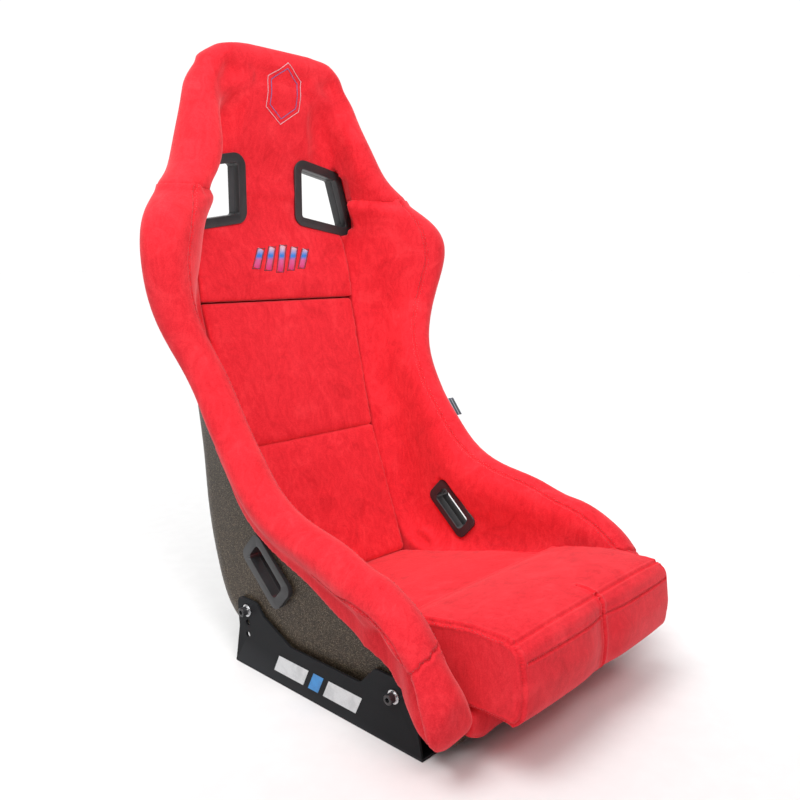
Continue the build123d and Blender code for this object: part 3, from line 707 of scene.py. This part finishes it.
def around_roll(sign, tree, line, places, angles):
    """Points on the roll: places along its centre line (0 to 1), and angles in degrees
    from straight outwards, 90 being the crest and 180 the inner side."""
    tangents = np.gradient(line, axis=0)
    out = []
    for place, angle in zip(places, angles):
        at = min(len(line) - 1, int(place * len(line)))
        t = Vector(tangents[at]).normalized()
        outward = Vector((sign, 0, 0))
        outward = (outward - t * outward.dot(t)).normalized()
        crest = t.cross(outward)
        if crest.y > 0 or (abs(crest.y) < 0.3 and crest.z < 0):
            crest = -crest
        a = math.radians(angle)
        ray = outward * math.cos(a) + crest * math.sin(a)
        hit = tree.ray_cast(Vector(line[at]) + ray * 0.004, ray, 0.10)[0]
        if hit is not None:
            out.append(hit[:])
    return rounded_path(out, 0.003, 4)


# places along the roll and angles round it
INNER_SEAM = (
    [0.02, 0.11, 0.2, 0.3, 0.77, 0.86, 0.93, 0.965],
    [108, 134, 138, 128, 124, 128, 138, 134],
)
OUTER_SEAM = ([0.745, 0.79, 0.836, 0.889, 0.929, 0.966], [-44, -32, -8, 0, 10, 4])
FRONT_SEAM = ([0.974, 0.950], [0, 136])
# where the front seam runs on down the tip, as fractions of the bolster's box
TIP_FOOT = [(0.735, 0.052, 0.110), (0.715, 0.060, 0.045)]
for side, sign in SIDES.items():
    bolster = bolsters[side]
    tree = surface(bolster)
    line = rounded_path(in_bolster(ROLL, sign), 0.006, 10)
    along = np.linspace(0.02, 0.965, 160)
    inner = around_roll(sign, tree, line, along, np.interp(along, *INNER_SEAM))
    along = np.linspace(0.745, 0.966, 60)
    outer = around_roll(sign, tree, line, along, np.interp(along, *OUTER_SEAM))
    front = around_roll(sign, tree, line, *(np.linspace(*ends, 40) for ends in FRONT_SEAM))
    foot = [tuple(p) for p in in_bolster(TIP_FOOT, sign)]
    down = on_surface(tree, rounded_path([front[0]] + foot, 0.003, 4))[0]
    sew(bolster, "bucket", inner, 0.0021, 0.0019, (-3.4, 3.4), f"{side}_inner_seam_stitches")
    sew(bolster, "bucket", outer, 0.0021, 0.0019, (-3.2,), f"{side}_outer_seam_stitches")
    sew(bolster, "bucket", front, 0.0028, 0.0021, (3.6,), f"{side}_front_seam_stitches")
    sew(bolster, "bucket", down, 0.0020, 0.0019)

# the head cover's top corners are rounded off
low, high = shape("head_panel")
co = coords_of(head.data)
rise = np.clip((co[:, 2] - high[2] + 0.075) / 0.075, 0, 1)
across = np.clip(np.abs(co[:, 0]) / 0.14, 0, 1)
co[:, 2] -= 0.007 * rise**2 * across**4
co[:, 0] -= np.sign(co[:, 0]) * 0.008 * rise**1.5 * across**3
set_coords(head.data, co)

for obj, node, fill in (
    (head, "head_panel", 0.9),
    (bolsters["left"], "left_bolster", 0.95),
    (bolsters["right"], "right_bolster", 0.95),
):
    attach(obj, "bucket")
    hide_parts(node)

# front lip trim: its ends are drawn up under the tips, and its edge is a little wavy
trim = foam_piece("front_lip_trim", "front_lip_trim_cover", 0.0026, 8)
low, high = shape("front_lip_trim")
co = coords_of(trim.data)
ends = np.clip((np.abs(co[:, 0]) - high[0] + 0.035) / 0.035, 0, 1)
under = np.clip((high[2] - co[:, 2]) / (high[2] - low[2]), 0, 1)
co[:, 2] += 0.012 * ends**2 * under
co[:, 1] += 0.0010 * np.sin(co[:, 0] * 95.0) * under
set_coords(trim.data, co)
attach(trim, "bucket")
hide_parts("front_lip_trim")

# side tag
tag_bm = node_mesh("side_tag")
bmesh.ops.dissolve_limit(tag_bm, angle_limit=0.01, verts=tag_bm.verts, edges=tag_bm.edges)
tag = as_object(tag_bm, "side_tag_woven", LABEL)
tag_edge = tag.modifiers.new("edge", "BEVEL")
tag_edge.width = 0.0006
tag_edge.segments = 3
bake_modifiers(tag)
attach(tag, "bucket")
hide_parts("side_tag")


# ---------------------------------------------------------------- removable pads
# each body's cover node, foam nodes, voxel size in metres and rounds of relaxing
PADS = {
    "upper_back_pad": ("upper_back_cover", ("upper_back_foam",), 0.0045, 5),
    "lower_back_pad": ("lower_back_cover", ("lower_back_foam",), 0.0045, 5),
    "seat_cushion": ("seat_cushion_cover", ("seat_foam", "thigh_foam"), 0.0050, 9),
}
BACK_FRONT = np.array([0.0, -0.95, 0.31])  # the way the back pads face
# the cushion across its length: the crease, the crest of its front edge, and its half width
CREASE_Y = float(shape("thigh_foam")[1][1])
CREST_Y = -0.285
CUSHION_Y = [-0.300, -0.262, -0.150, -0.066, 0.060, 0.205]
CUSHION_HALF = [0.1755, 0.1725, 0.1705, 0.165, 0.154, 0.150]
FACE_FOOT = 0.040  # straight foot of the cushion's front face, below its belly


def swell_back_pad(low, high, co, no):
    """How far each place of a back pad stands out of its CAD shape, in metres."""
    middle, half = 0.5 * (low[0] + high[0]), 0.5 * (high[0] - low[0])
    up = np.clip((co[:, 2] - low[2]) / (high[2] - low[2]), 0, 1)
    across = np.clip(np.abs(co[:, 0] - middle) / half, 0, 1)
    facing = np.clip(no @ BACK_FRONT, 0, 1)
    dome = (1 - across**4) * (1 - np.abs(2 * up - 1) ** 5)
    ends = np.clip(np.abs(no[:, 2]) - 0.3, 0, 0.5) * 2
    return MM * (facing * (1.0 + 4.5 * dome) + 1.6 * ends * (1 - facing))


def swell_cushion(low, high, co, no):
    """How far each place of the seat cushion stands out of its CAD shape, in metres."""
    y, z = co[:, 1], co[:, 2]
    across = np.clip(np.abs(co[:, 0]) / np.interp(y, CUSHION_Y, CUSHION_HALF), 0, 1)
    crown = 1 - across**3.5
    # top, behind and before the crease
    rear = np.clip((y - CREASE_Y) / (high[1] - CREASE_Y), 0, 1)
    fore = np.clip((CREASE_Y - y) / (CREASE_Y - CREST_Y), 0, 1)
    top = np.clip((no[:, 2] - 0.25) / 0.45, 0, 1)
    seat_part = crown * 5.0 * np.sin(math.pi * rear) ** 0.6 - 9.0 * hump(rear, 0, 0.22)
    thigh_part = (0.35 + 0.65 * crown) * 8.5 * np.sin(math.pi * fore * 0.93) ** 0.7
    thigh_part -= 5.0 * across**6 * fore**3
    out = top * np.where(y > CREASE_Y, seat_part * (rear > 0), thigh_part)
    # front face, in two lobes
    face = np.clip((-no[:, 1] - 0.35) / 0.4, 0, 1)
    level = np.clip((z - low[2] - FACE_FOOT) / (high[2] - low[2] - FACE_FOOT), 0, 1)
    belly = np.sin(math.pi * np.clip(level, 0.02, 0.98)) ** 0.55
    lobes = (1 - hump(co[:, 0], 0, 0.030)) * (1 - 0.8 * across**5)
    out += face * belly * (8.0 * lobes - 1.0)
    flank = np.clip((np.abs(no[:, 0]) - 0.5) / 0.4, 0, 1)
    out += flank * (3.0 * belly * fore - 0.8)
    return MM * out


pads = {}
for body, (cover, _, voxel, rounds) in PADS.items():
    pad = as_object(node_mesh(cover, largest=True), body + "_cushion", RED)
    remesh(pad, voxel)
    relax(pad.data, rounds)
    co, no = coords_of(pad.data), normals_of(pad.data)
    swell = swell_cushion if body == "seat_cushion" else swell_back_pad
    set_coords(pad.data, co + no * swell(*shape(cover), co, no)[:, None])
    relax(pad.data, 3)
    finer = pad.modifiers.new("finer", "SUBSURF")
    finer.levels = 1
    finer.render_levels = 1
    bake_modifiers(pad)
    pads[body] = pad

# the seat cushion: sewn crease, welted edges, centre seam and topstitching
cushion = pads["seat_cushion"]
low, high = shape("seat_cushion_cover")
sharp = node_mesh("seat_cushion_cover", largest=True)
sharp_tree = BVHTree.FromBMesh(sharp)
sharp.free()


def edge_x(y, z):
    return sharp_tree.ray_cast(Vector((0, y, z)), Vector((1, 0, 0)))[0].x


def top_z(x, y):
    return sharp_tree.ray_cast(Vector((x, y, 1.0)), Vector((0, 0, -1)))[0].z


def front_y(x, z):
    return sharp_tree.ray_cast(Vector((x, -1.0, z)), Vector((0, 1, 0)))[0].y


def laid(points, rounds=0):
    """The points as an even path on the cushion's cover, with its corners eased in rounds."""
    return on_surface(surface(cushion), rounded_path(points, PATH_STEP, rounds))[0]


def sew_cushion(path, depth, width, rows=(), label="", ridge=0.0006, radius=0.010):
    sew(cushion, "seat_cushion", path, depth, width, rows, label, ridge, radius)


PATH_STEP = 0.004
SIDE_Z = 0.12  # height at which the cushion's half width is read
HEM = 0.004  # between an edge and the seam beside it
crease_half = edge_x(CREASE_Y, SIDE_Z)
crease_x = np.linspace(-crease_half, crease_half, 40)
crease_top = [(x, CREASE_Y, top_z(x * 0.96, CREASE_Y)) for x in crease_x]
crease_sides = [(crease_half, CREASE_Y, z) for z in np.linspace(crease_top[-1][2], 0.085, 10)]
crease_other = [(-x, y, z) for x, y, z in reversed(crease_sides)]
crease = laid(crease_other + crease_top + crease_sides)
sew_cushion(crease, 0.0075, 0.0042, ridge=0.0010, radius=0.016)

crest_z = top_z(0, CREST_Y)
crest_half = edge_x(CREST_Y, SIDE_Z)
for side, sign in SIDES.items():
    tops = [
        (sign * edge_x(y, top_z(0, y) - HEM), y, top_z(0, y)) for y in np.linspace(0.06, CREST_Y, 40)
    ]
    label = f"{side}_cushion_edge_stitches"
    sew_cushion(laid(tops, 8), 0.0020, 0.0022, (3.6 * sign,), label, ridge=0.0009)
    corner = [
        (sign * crest_half, front_y(sign * 0.15, z), z)
        for z in np.linspace(crest_z - HEM, low[2] + 0.028, 24)
    ]
    sew_cushion(laid([tops[-1]] + corner, 6), 0.0020, 0.0022, ridge=0.0008)

half = crest_half - HEM
edge = [(x, CREST_Y - 0.012, crest_z + 0.002) for x in np.linspace(-half, half, 60)]
sew_cushion(laid(edge), 0.0016, 0.0022, ridge=0.0012)
half -= 0.006
row = [(x, front_y(x, 0.150) - 0.002, 0.152) for x in np.linspace(-half, half, 60)]
centre = [(0, y, top_z(0, y)) for y in (CREST_Y + 0.016, CREST_Y)]
centre += [(0, CREST_Y - 0.018, 0.168)]
centre += [(0, front_y(0, z), z) for z in np.linspace(0.160, low[2] + 0.012, 24)]
row_path, centre_path = laid(row), laid(centre, 4)
sew_cushion(row_path, 0.0014, 0.0018, (0,), "front_topstitch")
sew_cushion(centre_path, 0.0040, 0.0024, ridge=0.0010)

for body, pad in pads.items():
    cover, foams = PADS[body][:2]
    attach(pad, body)
    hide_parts(cover, *foams)

# ---------------------------------------------------------------- embroidery and decals
head_low, head_high = shape("head_panel")
head_tree = surface(head)


def on_head(x, z):
    """The place on the front of the head panel at this x and z."""
    return head_tree.ray_cast(Vector((x, 0, z)), Vector((0, 1, 0)))[0]


def satin(name, ends, material, width):
    """A band of satin stitch: threads laid side by side across a path."""
    thread_row(name, head_tree, ends, material, "bucket", 0.72, width, 0.44, 0.25, cross=True)


def outline(name, corners, material):
    """A closed line of running stitch."""
    thread_row(name, head_tree, corners + corners[:1], material, "bucket", 2.0, 2.4, 0.62, 0.30)


EMBROIDERY_X = 0.008
PALE_THREAD = thread("pale_thread", (0.80, 0.62, 0.66), (0.45, 0.25, 0.30))
BLUE_THREAD = thread("blue_thread", (0.10, 0.22, 0.55), (0.04, 0.08, 0.25))
badge_z = head_low[2] + 0.835 * (head_high[2] - head_low[2])
for name, wide, tall, material in (
    ("head_badge_outer", 0.033, 0.045, PALE_THREAD),
    ("head_badge_inner", 0.026, 0.037, BLUE_THREAD),
):
    turns = [math.radians(30 + 60 * k) for k in range(6)]
    corners = [
        on_head(EMBROIDERY_X + wide * math.cos(turn) * 1.15, badge_z + tall * math.sin(turn))
        for turn in turns
    ]
    outline(name, corners, material)

BAR_PITCH = 0.0235
bars_z = head_low[2] + 0.180 * (head_high[2] - head_low[2])
BAR_THREAD = graded_thread(
    "graded_thread",
    bars_z - 0.021,
    bars_z + 0.021,
    [
        (0.05, (0.80, 0.02, 0.20)),
        (0.42, (0.78, 0.12, 0.34)),
        (0.60, (0.02, 0.26, 0.80)),
        (0.95, (0.86, 0.56, 0.66)),
    ],
)
DARK_THREAD = thread("dark_thread", (0.030, 0.022, 0.040), (0.008, 0.006, 0.012))
for k in range(5):
    x = EMBROIDERY_X + (k - 2) * BAR_PITCH
    tall = 0.0210 - 0.0030 * abs(k - 2)
    ends = [on_head(x + end * 0.0085, bars_z + end * tall) for end in (-1, 1)]
    satin(f"panel_bar_{k + 1}", ends, BAR_THREAD, 12.5)
    corners = [
        on_head(x + end * 0.0088 + edge * 0.0074, bars_z + end * (tall + 0.0009))
        for edge, end in ((-1, -1), (1, -1), (1, 1), (-1, 1))
    ]
    outline(f"panel_bar_edge_{k + 1}", corners, DARK_THREAD)

# slanted stripes on the brackets: front end, length and film of each; then their slant and
# heights, and how far the film's two faces stand off the web
STRIPES = ((0.086, 0.062, WHITE_VINYL), (0.014, 0.020, BLUE_VINYL), (-0.016, 0.062, WHITE_VINYL))
LEAN, STRIPE_BASE, STRIPE_TOP = 0.012, 0.017, 0.042
FILM = (0.00002, 0.00018)
web_x = shape("left_bracket")[1][0]
for side, sign in SIDES.items():
    for k, (start, wide, material) in enumerate(STRIPES):
        flat = [
            (start, STRIPE_BASE),
            (start - wide, STRIPE_BASE),
            (start - wide - LEAN, STRIPE_TOP),
            (start - LEAN, STRIPE_TOP),
        ]
        bm = bmesh.new()
        sheets = [[bm.verts.new((sign * (web_x + lift), y, z)) for y, z in flat] for lift in FILM]
        for sheet in sheets:
            bm.faces.new(sheet)
        for i in range(4):
            j = (i + 1) % 4
            bm.faces.new((sheets[0][i], sheets[0][j], sheets[1][j], sheets[1][i]))
        bmesh.ops.recalc_face_normals(bm, faces=bm.faces)
        decal = as_object(bm, f"{side}_bracket_stripe_{k + 1}", material)
        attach(decal, "bucket")

# ---------------------------------------------------------------- floor, light and camera
FLOOR_SIZE, FLOOR_DROP = 40.0, 0.0004
floor_material = Shader("pale_floor", Roughness=0.9)
grain = floor_material.noise(30.0, 3.0, 0.6)
floor_material.colour(
    floor_material.ramp(grain, [(0.3, (0.83, 0.83, 0.83)), (0.7, (0.85, 0.85, 0.85))])
)
floor_mesh = bmesh.new()
bmesh.ops.create_grid(floor_mesh, x_segments=1, y_segments=1, size=FLOOR_SIZE)
floor = as_object(floor_mesh, "floor", floor_material.material)
floor.location.z = -FLOOR_DROP

world = bpy.data.worlds.new("studio")
bpy.context.scene.world = world
world.use_nodes = True
sky = world.node_tree
heading = sky.nodes.new("ShaderNodeTexCoord").outputs["Generated"]


def glow(direction, start, full, level):
    """Light from one side of the studio, fading between two cosines from its middle."""
    dot = sky.nodes.new("ShaderNodeVectorMath")
    dot.operation = "DOT_PRODUCT"
    dot.inputs[1].default_value = Vector(direction).normalized()
    span = sky.nodes.new("ShaderNodeMapRange")
    span.interpolation_type = "SMOOTHSTEP"
    span.inputs["From Min"].default_value = start
    span.inputs["From Max"].default_value = full
    span.inputs["To Max"].default_value = level
    sky.links.new(heading, dot.inputs[0])
    sky.links.new(dot.outputs["Value"], span.inputs["Value"])
    return span.outputs["Result"]


def brighter(a, b):
    """The larger of two levels; b may be a number."""
    made = sky.nodes.new("ShaderNodeMath")
    made.operation = "MAXIMUM"
    sky.links.new(a, made.inputs[0])
    if isinstance(b, float):
        made.inputs[1].default_value = b
    else:
        sky.links.new(b, made.inputs[1])
    return made.outputs[0]


backdrop = glow((0.73, 0.68, 0.0), 0.25, 0.62, 1.05)
overhead = glow((-0.42, -0.20, 1.0), 0.62, 0.95, 1.70)
level = brighter(brighter(backdrop, overhead), 0.05)
# the studio's walls themselves look white
seen = sky.nodes.new("ShaderNodeLightPath").outputs["Is Camera Ray"]
sky.nodes["Background"].inputs["Color"].default_value = (1, 1, 1, 1)
sky.links.new(brighter(level, seen), sky.nodes["Background"].inputs["Strength"])

key_data = bpy.data.lights.new("key", "SUN")
key_data.energy = 1.35
key_data.angle = math.radians(30)
key = placed("key", key_data)
key.rotation_euler = Vector((-0.45, 0.05, 1.0)).to_track_quat("Z", "Y").to_euler()

softbox_data = bpy.data.lights.new("softbox", "SPOT")
softbox_data.energy = 62.0
softbox_data.spot_size = math.radians(72)
softbox_data.spot_blend = 1.0
softbox_data.shadow_soft_size = 0.3
softbox = placed("softbox", softbox_data, (-0.55, -0.90, 1.30))
aim = softbox.location - Vector((0, 0.22, 0.64))
softbox.rotation_euler = aim.to_track_quat("Z", "Y").to_euler()

camera_data = bpy.data.cameras.new("camera")
camera_data.sensor_width = 36.0
camera_data.lens = 36.71
camera = placed("camera", camera_data, (-0.860, -0.769, 0.5826))
camera.rotation_euler = (math.radians(80.256), 0.0, math.radians(-46.86))
bpy.context.scene.camera = camera
bpy.context.scene.view_settings.view_transform = "Standard"
bpy.context.scene.view_settings.look = "None"
